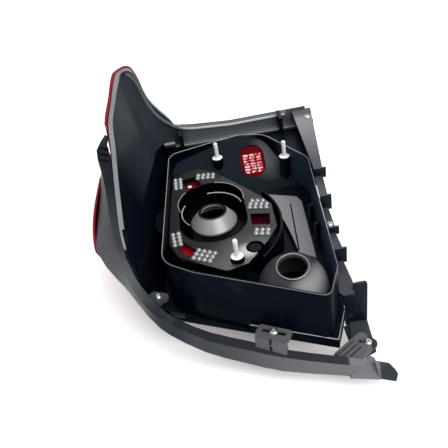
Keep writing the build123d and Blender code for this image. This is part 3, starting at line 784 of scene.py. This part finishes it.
@dataclass(frozen=True)
class SilverCoat:
    """Silver coating on plastic, with darker worn patches."""

    colour: Rgb
    worn: Rgb
    metal: float
    roughness: float
    gloss: float = 0.5
    worn_grain: Grain = Grain(40.0, 2.0)
    shine_grain: Grain = Grain(30.0, 3.0, 4.0)
    roughness_spread: float = 0.12

    def tint(self, paint: Paint) -> Field:
        """Colour over the surface."""
        return paint.mixed(paint.noise(self.worn_grain), self.colour, self.worn)

    def build(self, name: str) -> bpy.types.Material:
        """Makes the material.

        Args:
            name: Material name.

        Returns:
            The material.
        """
        paint = Paint(name)
        paint.surface(
            Base_Color=self.tint(paint),
            Metallic=self.metal,
            Specular_IOR_Level=self.gloss,
            Roughness=paint.noise(self.shine_grain).around(self.roughness, self.roughness_spread),
        )
        return paint.material


@dataclass(frozen=True)
class EdgeHighlight(SilverCoat):
    """Painted highlight on the moulded edges: strong, but faint along the near side of the chamber's
    rim.
    """

    faint: Rgb = (0.13, 0.132, 0.137)
    far_depth: Step = Step(5.0 * MM, 40.0 * MM)
    rim_height: Step = Step(6.5 * MM, 0.5 * MM)

    def tint(self, paint: Paint) -> Field:
        """Colour over the surface."""
        # The painted highlight is fainter along the near side of the chamber's rim.
        near_rim = paint.depth().below(self.far_depth) * paint.height().above(self.rim_height)
        return paint.mixed(near_rim, super().tint(paint), self.faint)


@dataclass(frozen=True)
class BezelCoat(SilverCoat):
    """The bezel's silver: a painted sheen near the stud, and painted shade that darkens it nearly to
    black at its far end.
    """

    far: Rgb = (0.004, 0.0045, 0.006)
    far_share: float = 0.9
    far_depth: Step = Step(22.0 * MM, 44.0 * MM)
    left_share: float = 0.6
    right_across: Step = Step(-25.0 * MM, 40.0 * MM)
    edge_facing: Step = Step(0.5, 0.3)
    sheen: Rgb = (0.32, 0.324, 0.332)
    sheen_middle: Point = (12.0 * MM, 12.0 * MM, 0.0)
    sheen_edge: Step = Step(9.0 * MM, 9.0 * MM)

    def tint(self, paint: Paint) -> Field:
        """Colour over the surface.

        Args:
            paint: Paint that gets the nodes.

        Returns:
            The colour.
        """
        # Painted shade over the far end, the left and the side faces, on top of the worn patches.
        left = paint.across().below(self.right_across) * self.left_share
        shade = (paint.depth().above(self.far_depth) + left).clipped() * self.far_share
        edge = paint.upward().below(self.edge_facing)
        worn = paint.mixed((shade + edge).clipped(), super().tint(paint), self.far)
        # Painted sheen near the stud.
        spot = paint.away(self.sheen_middle).below(self.sheen_edge)
        return paint.mixed(spot, worn, self.sheen)


@dataclass(frozen=True)
class DishCoat(SilverCoat):
    """The dish's silver, black on the ring round its hole."""

    ring: Rgb = (0.003, 0.003, 0.003)
    ring_height: Step = Step(-13.0 * MM, 2.0 * MM)

    def tint(self, paint: Paint) -> Field:
        """Colour over the surface."""
        return paint.mixed(paint.height().above(self.ring_height), super().tint(paint), self.ring)


@dataclass(frozen=True)
class DomeMoulding(Moulding):
    """The dome's plastic: painted shade on its top round the hole, painted light low on the side that
    the light falls on.
    """

    pale: Rgb = (0.55, 0.555, 0.565)
    middle: Point = (50.0 * MM, -28.0 * MM, -25.0 * MM)
    pale_side: Point = (0.55, -0.60, -0.58)
    pale_step: Step = Step(12.0 * MM, 30.0 * MM)

    def tint(self, paint: Paint) -> Field:
        """Colour over the surface."""
        # Painted light low on the near right side.
        share = paint.along(self.middle, self.pale_side).above(self.pale_step)
        return paint.mixed(share, super().tint(paint), self.pale)


Finish = Union[Moulding, RedPlastic, SilverCoat]

FINISHES: dict[Look, tuple[Slot, Finish]] = {
    Look.HOUSING: (
        Slot.BLACK_MOULDING,
        HousingMoulding((0.0010, 0.0020, 0.0055), (0.011, 0.015, 0.022), 0.35, 0.32, gloss=0.02),
    ),
    Look.SHROUD: (
        Slot.BLACK_MOULDING,
        Moulding((0.001, 0.0012, 0.0018), (0.002, 0.0024, 0.0032), 0.4, 0.3, gloss=0.02),
    ),
    Look.EDGE: (Slot.BLACK_MOULDING, EdgeHighlight((0.50, 0.505, 0.515), (0.22, 0.223, 0.23), 0.3, 0.32)),
    Look.ROLL: (
        Slot.BLACK_MOULDING,
        RollHighlight((0.62, 0.63, 0.645), (0.50, 0.51, 0.525), 0.5, 0.36, scuff=0.5, gloss=0.3),
    ),
    Look.TRIM: (
        Slot.TRIM_MOULDING,
        TrimMoulding((0.050, 0.054, 0.061), (0.066, 0.070, 0.078), 0.5, 0.42, gloss=0.1),
    ),
    # On the bracket the colour of faces that look up is painted light on the treads.
    Look.BRACKET: (
        Slot.TRIM_MOULDING,
        BracketMoulding((0.003, 0.006, 0.012), (0.055, 0.060, 0.070), 0.8, 0.40, gloss=0.1),
    ),
    # On the dome the colour of faces that look up is painted shade on its top.
    Look.DOME: (
        Slot.GREY_DOME,
        DomeMoulding((0.055, 0.058, 0.063), (0.030, 0.033, 0.038), 1.0, 0.36, scuff=0.0, gloss=0.2),
    ),
    Look.DISH: (Slot.GREY_DISH, DishCoat((0.36, 0.364, 0.362), (0.31, 0.314, 0.312), 0.3, 0.36, 0.0)),
    Look.PLATE: (Slot.GREY_PLATE, Moulding((0.11, 0.116, 0.128), (0.18, 0.188, 0.20), 0.8, 0.5)),
    Look.STUD: (Slot.WHITE_STUD, Moulding((0.74, 0.74, 0.72), (0.82, 0.82, 0.80), 0.4, 0.42, scuff=0.0)),
    Look.LENS: (Slot.RED_LENS, LensPlastic((0.20, 0.003, 0.009), (0.15, 0.003, 0.008), 0.0)),
    Look.OPTIC: (
        Slot.RED_OPTIC,
        OpticPlastic((0.13, 0.001, 0.006), (0.07, 0.001, 0.003), 0.06, gloss=0.03),
    ),
    Look.FILTER: (Slot.RED_OPTIC, FilterPlastic((0.36, 0.004, 0.008), (0.24, 0.003, 0.006), 0.06)),
    Look.BEZEL: (
        Slot.SILVER_BEZEL,
        BezelCoat((0.095, 0.097, 0.103), (0.065, 0.067, 0.072), 0.5, 0.28, 0.1),
    ),
    Look.BEAD: (Slot.SILVER_BEZEL, SilverCoat((0.38, 0.385, 0.395), (0.28, 0.284, 0.292), 0.5, 0.26)),
    Look.SCREW: (Slot.ZINC_SCREW, SilverCoat((0.62, 0.70, 0.74), (0.42, 0.47, 0.50), 0.9, 0.26)),
}


class Finisher:
    """Makes each finish once and puts it on pieces."""

    def __init__(self) -> None:
        """Builds every material."""
        self.materials = {look: finish.build(look.value) for look, (_, finish) in FINISHES.items()}

    def dress(self, piece: bpy.types.Object, look: Look, crease_deg: float = 32.0) -> None:
        """Gives a piece one finish and smooth shading across its soft edges.

        Args:
            piece: Mesh object.
            look: Finish of the piece.
            crease_deg: Edges that turn further than this stay sharp.
        """
        piece.data.materials.clear()
        piece.data.materials.append(self.materials[look])
        for face in piece.data.polygons:
            face.use_smooth = True
        piece.data.set_sharp_from_angle(angle=math.radians(crease_deg))

    def adopt(self, piece: bpy.types.Object, look: Look, node: Optional[str] = None) -> None:
        """Dresses a new piece and ties it to the frame.

        Args:
            piece: Object in the frame of the CAD.
            look: Finish of the piece.
            node: CAD node that it stands for.
        """
        self.dress(piece, look)
        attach(piece, BODY)
        if node is not None:
            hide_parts(node)
        LOG.info("piece %s in %s", piece.name, look.value)


class Shaper:
    """Gathers points and faces of one mesh, in metres."""

    def __init__(self) -> None:
        """Starts with nothing."""
        self.points: list[Vector] = []
        self.faces: list[tuple[int, ...]] = []

    def turn(self, profile: Profile, origin: Point, sides: int) -> None:
        """Adds a turned shape on an upright axis.

        Args:
            profile: Radius and height pairs from the bottom to the top.
            origin: Point on the axis at height nought.
            sides: Number of sides round the axis.
        """
        rings: list[list[int]] = []
        for radius, height in profile:
            count = sides if radius > POINT_RADIUS else 1
            first = len(self.points)
            for step in range(count):
                angle = math.tau * step / count
                spoke = Vector((radius * math.cos(angle), radius * math.sin(angle), height))
                self.points.append(Vector(origin) + spoke)
            rings.append([first + step % count for step in range(sides)])
        self._skin(rings, sides)

    def tube(
        self,
        path: Sequence[Vector],
        radius: float,
        closed: bool,
        sides: int = 10,
        up: Point = UP,
        spread: float = 1.0,
    ) -> None:
        """Adds a bead along a path that is square to one direction.

        Args:
            path: Points of the middle line.
            radius: Radius of the bead.
            closed: Whether the end meets the start.
            sides: Number of sides round the bead.
            up: Direction that the bead stands out in.
            spread: Half width of the bead, as a multiple of its radius.
        """
        rings: list[list[int]] = []
        rise = Vector(up)
        count = len(path)
        for number, middle in enumerate(path):
            before = path[number - 1] if closed or number > 0 else middle
            after = path[(number + 1) % count] if closed or number < count - 1 else middle
            side = (after - before).cross(rise).normalized() * spread
            first = len(self.points)
            for step in range(sides):
                angle = math.tau * step / sides
                self.points.append(middle + (side * math.cos(angle) + rise * math.sin(angle)) * radius)
            rings.append(list(range(first, first + sides)))
        if closed:
            rings.append(rings[0])
        else:
            self.faces.append(tuple(rings[0]))
            self.faces.append(tuple(reversed(rings[-1])))
        self._skin([list(reversed(ring)) for ring in rings], sides)

    def _skin(self, rings: Sequence[Sequence[int]], sides: int) -> None:
        """Joins neighbouring rings with faces.

        Args:
            rings: Numbers of each ring's points.
            sides: Points in each ring.
        """
        for lower, upper in zip(rings, rings[1:]):
            for step in range(sides):
                after = (step + 1) % sides
                corners = (lower[step], lower[after], upper[after], upper[step])
                face = tuple(dict.fromkeys(corners))
                if len(face) > 2:
                    self.faces.append(face)

    def make(self, name: str) -> bpy.types.Object:
        """Makes the object.

        Args:
            name: Object name.

        Returns:
            The linked object.
        """
        mesh = bpy.data.meshes.new(name)
        mesh.from_pydata([tuple(point) for point in self.points], [], self.faces)
        mesh.validate()
        mesh.update()
        piece = bpy.data.objects.new(name, mesh)
        bpy.context.scene.collection.objects.link(piece)
        return piece


def rounded_outline(corners: Sequence[Corner], steps: int = 8) -> list[Vector]:
    """Closed level outline with rounded corners.

    Args:
        corners: X, Y and corner radius, in millimetres.
        steps: Parts of each rounded corner.

    Returns:
        Points in metres at height nought.
    """
    points: list[Vector] = []
    for number, (x, y, radius) in enumerate(corners):
        corner = Vector((x, y, 0.0))
        back = (Vector((*corners[number - 1][:2], 0.0)) - corner).normalized()
        ahead = (Vector((*corners[(number + 1) % len(corners)][:2], 0.0)) - corner).normalized()
        half = back.angle(ahead) / 2
        middle = corner + (back + ahead).normalized() * (radius / math.sin(half))
        start = corner + back * (radius / math.tan(half)) - middle
        end = corner + ahead * (radius / math.tan(half)) - middle
        for step in range(steps + 1):
            spoke = start.normalized().slerp(end.normalized(), step / steps) * radius
            points.append((middle + spoke) * MM)
    return points


@dataclass
class Mouldings:
    """The pieces whose shape is the CAD's own: they take a finish."""

    looks: dict[str, Look] = field(
        default_factory=lambda: {
            "lens": Look.LENS,
            "housing": Look.HOUSING,
            "lower_trim": Look.TRIM,
            "edge_bracket": Look.BRACKET,
            "bezel": Look.BEZEL,
            "shroud": Look.SHROUD,
            "dish": Look.DISH,
            "dome": Look.DOME,
            "window_optic": Look.OPTIC,
            "inner_filter": Look.FILTER,
            "shield_plate": Look.PLATE,
            "stud_near": Look.STUD,
            "stud_far_left": Look.STUD,
            "stud_far_right": Look.STUD,
        }
    )

    def build(self, finisher: Finisher) -> None:
        """Dresses the CAD nodes.

        Args:
            finisher: Source of the finishes.
        """
        for name, look in self.looks.items():
            finisher.dress(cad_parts[name], look)
            LOG.info("node %s in %s", name, look.value)


@dataclass(frozen=True)
class BeadGroup:
    """Grid of beads about a middle, in millimetres, turned by an angle."""

    x: float
    y: float
    columns: int
    rows: int
    angle_deg: float


@dataclass
class BezelBeads:
    """Half-round silver beads on the bezel, in groups between its windows."""

    level: float = -6.0
    radius: float = 3.05
    height: float = 2.8
    pitch: float = 6.2
    rings: int = 5
    sides: int = 20
    sunk: float = 0.3
    groups: tuple[BeadGroup, ...] = (
        BeadGroup(-20.0, 167.0, 4, 2, -10.0),
        BeadGroup(-54.5, 160.0, 2, 4, 0.0),
        BeadGroup(34.0, 86.0, 4, 2, -15.0),
        BeadGroup(34.6, 95.6, 3, 1, -15.0),
        BeadGroup(31.0, 38.0, 3, 2, -15.0),
        BeadGroup(-60.5, 50.0, 2, 4, 5.0),
        BeadGroup(-33.0, 15.0, 4, 3, -30.0),
    )

    def places(self) -> list[Point]:
        """Middle of each bead on the bezel's face.

        Returns:
            Points in metres.
        """
        found: list[Point] = []
        for group in self.groups:
            angle = math.radians(group.angle_deg)
            for column in range(group.columns):
                for row in range(group.rows):
                    across = (column - (group.columns - 1) / 2) * self.pitch
                    along = (row - (group.rows - 1) / 2) * self.pitch
                    x = group.x + across * math.cos(angle) - along * math.sin(angle)
                    y = group.y + across * math.sin(angle) + along * math.cos(angle)
                    found.append((x * MM, y * MM, self.level * MM))
        return found

    def build(self, finisher: Finisher) -> None:
        """Makes all the beads as one piece.

        Args:
            finisher: Source of the finish.
        """
        base = -self.sunk * MM
        profile: list[tuple[float, float]] = [(0.0, base), (self.radius * MM, base)]
        for step in range(self.rings):
            angle = math.pi / 2 * step / self.rings
            profile.append((self.radius * math.cos(angle) * MM, self.height * math.sin(angle) * MM))
        profile.append((0.0, self.height * MM))
        shaper = Shaper()
        for place in self.places():
            shaper.turn(profile, place, self.sides)
        finisher.adopt(shaper.make("bezel_beads"), Look.BEAD)


@dataclass(frozen=True)
class Arc:
    """Level arc, in millimetres and degrees."""

    middle: Point
    radius: float
    start_deg: float
    end_deg: float


@dataclass
class MouldedEdges:
    """Fine rounded edges that carry painted highlights, and the roll under the far rim that carries a
    painted highlight.
    """

    rim_level: float = 8.0
    rim_inset: float = 0.6
    rim_radius: float = 0.42
    chamber: tuple[Corner, ...] = (
        (-76.0, 0.0, 28.0),
        (-62.0, 212.0, 18.0),
        (30.0, 234.0, 30.0),
        (63.0, 223.5, 30.0),
        (105.5, 148.5, 20.0),
        (90.0, -50.0, 20.0),
        (74.0, -88.0, 8.0),
        (-45.0, -24.0, 40.0),
    )
    arc_steps: int = 24
    shroud_bead: float = 0.7
    shroud_arcs: tuple[Arc, ...] = (
        Arc((-18.0, 101.0, -11.0), 35.3, 10.5, 94.5),
        Arc((-18.0, 101.0, -11.0), 35.3, 150.5, 219.5),
    )
    well_bead: float = 0.45
    well_arcs: tuple[Arc, ...] = (
        Arc((-18.0, 113.0, -6.0), 38.3, -10.0, 78.0),
        Arc((-18.0, 113.0, -6.0), 38.3, 138.0, 200.0),
    )
    collar_bead: float = 0.4
    collar: Arc = Arc((50.0, -33.73, 2.5), 15.8, 0.0, 360.0)
    collar_tilt_deg: float = 10.0
    foot_bead: float = 0.45
    foot_path: tuple[Point, ...] = (
        (0.5, -51.9, -46.5),
        (78.2, -89.2, -46.5),
        (78.9, -88.5, -46.5),
        (93.4, -54.3, -46.5),
    )
    roll_inset: Point = (0.0, -0.7, 0.0)
    roll_radius: float = 2.1
    roll_spread: float = 1.3
    roll_sides: int = 16
    roll_path: tuple[Point, ...] = (
        (96.1, 247.2, 20.1),
        (72.1, 247.2, 19.7),
        (48.1, 247.1, 19.4),
        (23.9, 247.1, 19.0),
        (2.7, 247.2, 20.5),
        (-18.3, 247.4, 22.0),
        (-31.1, 247.5, 23.4),
        (-36.8, 247.6, 24.7),
        (-42.3, 247.8, 26.5),
        (-47.7, 248.1, 28.8),
        (-52.8, 248.6, 31.7),
        (-57.5, 248.8, 35.2),
        (-61.7, 248.7, 39.3),
        (-65.5, 248.4, 43.8),
        (-68.7, 247.9, 48.7),
        (-71.6, 247.5, 53.8),
        (-74.0, 247.2, 59.1),
        (-76.1, 247.1, 64.5),
        (-77.7, 247.2, 69.9),
        (-80.2, 247.8, 80.4),
        (-82.6, 248.4, 90.5),
        (-84.2, 248.3, 95.3),
        (-86.2, 248.0, 100.1),
        (-88.7, 247.2, 104.7),
        (-91.7, 245.6, 109.0),
        (-94.9, 243.0, 111.8),
    )

    def chamber_path(self) -> list[Vector]:
        """Middle line of the bead on the chamber's rim.

        Returns:
            Points in metres.
        """
        outline = rounded_outline(self.chamber)
        rise = Vector(UP) * self.rim_level * MM
        path: list[Vector] = []
        for number, point in enumerate(outline):
            heading = (outline[(number + 1) % len(outline)] - outline[number - 1]).normalized()
            inward = Vector((heading.y, -heading.x, 0.0))
            path.append(point + inward * self.rim_inset * MM + rise)
        return path

    def arc_path(self, arc: Arc, tilt_deg: float = 0.0) -> list[Vector]:
        """Middle line of the bead on one arc.

        Args:
            arc: The arc.
            tilt_deg: Turn of the arc's plane about X.

        Returns:
            Points in metres.
        """
        tilt = Matrix.Rotation(math.radians(tilt_deg), 3, "X")
        path: list[Vector] = []
        for step in range(self.arc_steps + 1):
            turned_deg = (arc.end_deg - arc.start_deg) * step / self.arc_steps
            angle = math.radians(arc.start_deg + turned_deg)
            spoke = Vector((math.cos(angle), math.sin(angle), 0.0)) * arc.radius
            path.append((Vector(arc.middle) + tilt @ spoke) * MM)
        return path

    def lay(
        self,
        finisher: Finisher,
        name: str,
        paths: Sequence[Sequence[Vector]],
        radius: float,
        closed: bool = False,
    ) -> None:
        """Makes one piece of light edges.

        Args:
            finisher: Source of the finish.
            name: Name of the piece.
            paths: Middle lines of its beads.
            radius: Radius of the beads in millimetres.
            closed: Whether each bead's end meets its start.
        """
        shaper = Shaper()
        for path in paths:
            shaper.tube(path, radius * MM, closed)
        finisher.adopt(shaper.make(name), Look.EDGE)

    def build(self, finisher: Finisher) -> None:
        """Makes the edge pieces and the roll.

        Args:
            finisher: Source of the finishes.
        """
        shroud = [self.arc_path(arc) for arc in self.shroud_arcs]
        well = [self.arc_path(arc) for arc in self.well_arcs]
        collar = self.arc_path(self.collar, self.collar_tilt_deg)[:-1]
        foot = [Vector(point) * MM for point in self.foot_path]
        # Each bead paints a highlight along an edge.
        self.lay(finisher, "chamber_rim_edge", [self.chamber_path()], self.rim_radius, True)
        self.lay(finisher, "shroud_wall_edges", shroud, self.shroud_bead)
        self.lay(finisher, "bezel_well_edges", well, self.well_bead)
        self.lay(finisher, "dome_collar_edge", [collar], self.collar_bead, True)
        self.lay(finisher, "foot_edge", [foot], self.foot_bead)
        # The roll is a pale tube that paints a highlight under the far rim.
        path = [(Vector(point) + Vector(self.roll_inset)) * MM for point in self.roll_path]
        roll = Shaper()
        roll.tube(path, self.roll_radius * MM, False, self.roll_sides, NEAR, self.roll_spread)
        finisher.adopt(roll.make("far_rim_roll"), Look.ROLL)


@dataclass
class TrimScrews:
    """Five zinc screws with round heads that hold the trim and the bracket."""

    seats: tuple[Point, ...] = (
        (-86.0, -9.5, -28.0),
        (21.5, -68.5, -44.0),
        (108.5, -81.0, -67.5),
        (100.8, 28.0, -4.0),
        (121.0, 222.0, 22.0),
    )
    profile: tuple[tuple[float, float], ...] = (
        (0.0, -9.0),
        (1.2, -9.0),
        (2.0, -8.2),
        (2.0, 0.0),
        (4.2, 0.0),
        (4.2, 0.5),
        (3.9, 1.25),
        (3.2, 1.95),
        (2.3, 2.4),
        (1.45, 2.6),
        (1.25, 2.45),
        (1.05, 1.5),
        (0.0, 1.2),
    )
    sides: int = 32

    def build(self, finisher: Finisher) -> None:
        """Makes the screws as one piece in place of the CAD's plain ones.

        Args:
            finisher: Source of the finish.
        """
        shaper = Shaper()
        scaled = [(radius * MM, height * MM) for radius, height in self.profile]
        for x, y, z in self.seats:
            shaper.turn(scaled, (x * MM, y * MM, z * MM), self.sides)
        finisher.adopt(shaper.make("trim_screw_set"), Look.SCREW, "trim_screws")


@dataclass
class Studio:
    """Floor, soft lights and the camera at the photograph's viewing angle."""

    eye: Point = (-0.0074, -0.4514, 0.3751)
    look_down_deg: float = 36.5
    roll_deg: float = 10.0
    focal_px: float = 586.0
    image_px: float = 448.0
    sensor_mm: float = 36.0
    clip: Range = (0.01, 50.0)
    floor_width: float = 12.0
    floor_colour: Rgb = (0.94, 0.94, 0.94)
    floor_roughness: float = 0.9
    floor_glow: float = 0.2
    world_colour: Rgb = (1.0, 1.0, 1.0)
    world_strength: float = 0.75
    key_from: Point = (0.45, -0.65, 0.95)
    key_strength: float = 2.4
    key_spread_deg: float = 48.0
    strip_from: Point = (0.35, 1.3, 0.95)
    strip_aim: Point = (0.0, 0.1, 0.0)
    strip_size: float = 0.7
    strip_power: float = 5.0

    def build(self) -> None:
        """Makes the whole studio."""
        self.lay_floor()
        self.hang_lights()
        self.set_camera()
        bpy.context.scene.view_settings.view_transform = "Standard"

    def lay_floor(self) -> None:
        """Lays the pale floor under the lens."""
        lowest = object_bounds()[0].z
        half = self.floor_width / 2
        mesh = bpy.data.meshes.new("floor")
        signs = ((-1, -1), (1, -1), (1, 1), (-1, 1))
        corners = [(half * x, half * y, lowest) for x, y in signs]
        mesh.from_pydata(corners, [], [(0, 1, 2, 3)])
        floor = bpy.data.objects.new("floor", mesh)
        bpy.context.scene.collection.objects.link(floor)
        paint = Paint("pale_floor")
        paint.surface(
            Base_Color=self.floor_colour,
            Roughness=self.floor_roughness,
            Emission_Color=self.floor_colour,
            Emission_Strength=self.floor_glow,
        )
        mesh.materials.append(paint.material)
        floor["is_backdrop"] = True

    def hang_lights(self) -> None:
        """Hangs a wide soft key over the near right and a weak strip on the far side."""
        world = bpy.data.worlds.new("studio")
        bpy.context.scene.world = world
        world.use_nodes = True
        background = world.node_tree.nodes["Background"]
        background.inputs["Color"].default_value = (*self.world_colour, 1.0)
        background.inputs["Strength"].default_value = self.world_strength
        key = bpy.data.lights.new("key", "SUN")
        key.energy = self.key_strength
        key.angle = math.radians(self.key_spread_deg)
        self.aim_light(key, self.key_from, ORIGIN)
        strip = bpy.data.lights.new("far_strip", "AREA")
        strip.size = self.strip_size
        strip.energy = self.strip_power
        self.aim_light(strip, self.strip_from, self.strip_aim)

    def aim_light(self, data: bpy.types.Light, place: Point, aim: Point) -> None:
        """Hangs a light and points it.

        Args:
            data: The light.
            place: Where it hangs.
            aim: Where it points.
        """
        lamp = bpy.data.objects.new(data.name, data)
        lamp.location = place
        lamp.rotation_euler = (Vector(aim) - Vector(place)).to_track_quat("-Z", "Y").to_euler()
        bpy.context.scene.collection.objects.link(lamp)

    def set_camera(self) -> None:
        """Sets the camera where the photograph was taken from."""
        down = math.radians(self.look_down_deg)
        roll = math.radians(self.roll_deg)
        forward = Vector((0.0, math.cos(down), -math.sin(down)))
        level_right = Vector(RIGHT)
        level_up = Vector((0.0, math.sin(down), math.cos(down)))
        right = level_right * math.cos(roll) - level_up * math.sin(roll)
        up = level_right * math.sin(roll) + level_up * math.cos(roll)
        data = bpy.data.cameras.new("camera")
        data.sensor_fit = "HORIZONTAL"
        data.sensor_width = self.sensor_mm
        data.lens = self.sensor_mm * self.focal_px / self.image_px
        data.clip_start, data.clip_end = self.clip
        camera = bpy.data.objects.new("camera", data)
        turn = Matrix((right, up, -forward)).transposed().to_4x4()
        camera.matrix_world = Matrix.Translation(Vector(self.eye)) @ turn
        bpy.context.scene.collection.objects.link(camera)
        bpy.context.scene.camera = camera


def main() -> None:
    """Builds the pieces in order."""
    logging.basicConfig(level=logging.INFO)
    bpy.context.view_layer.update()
    finisher = Finisher()
    Mouldings().build(finisher)
    BezelBeads().build(finisher)
    MouldedEdges().build(finisher)
    TrimScrews().build(finisher)
    Studio().build()


if __name__ == "__main__":
    main()
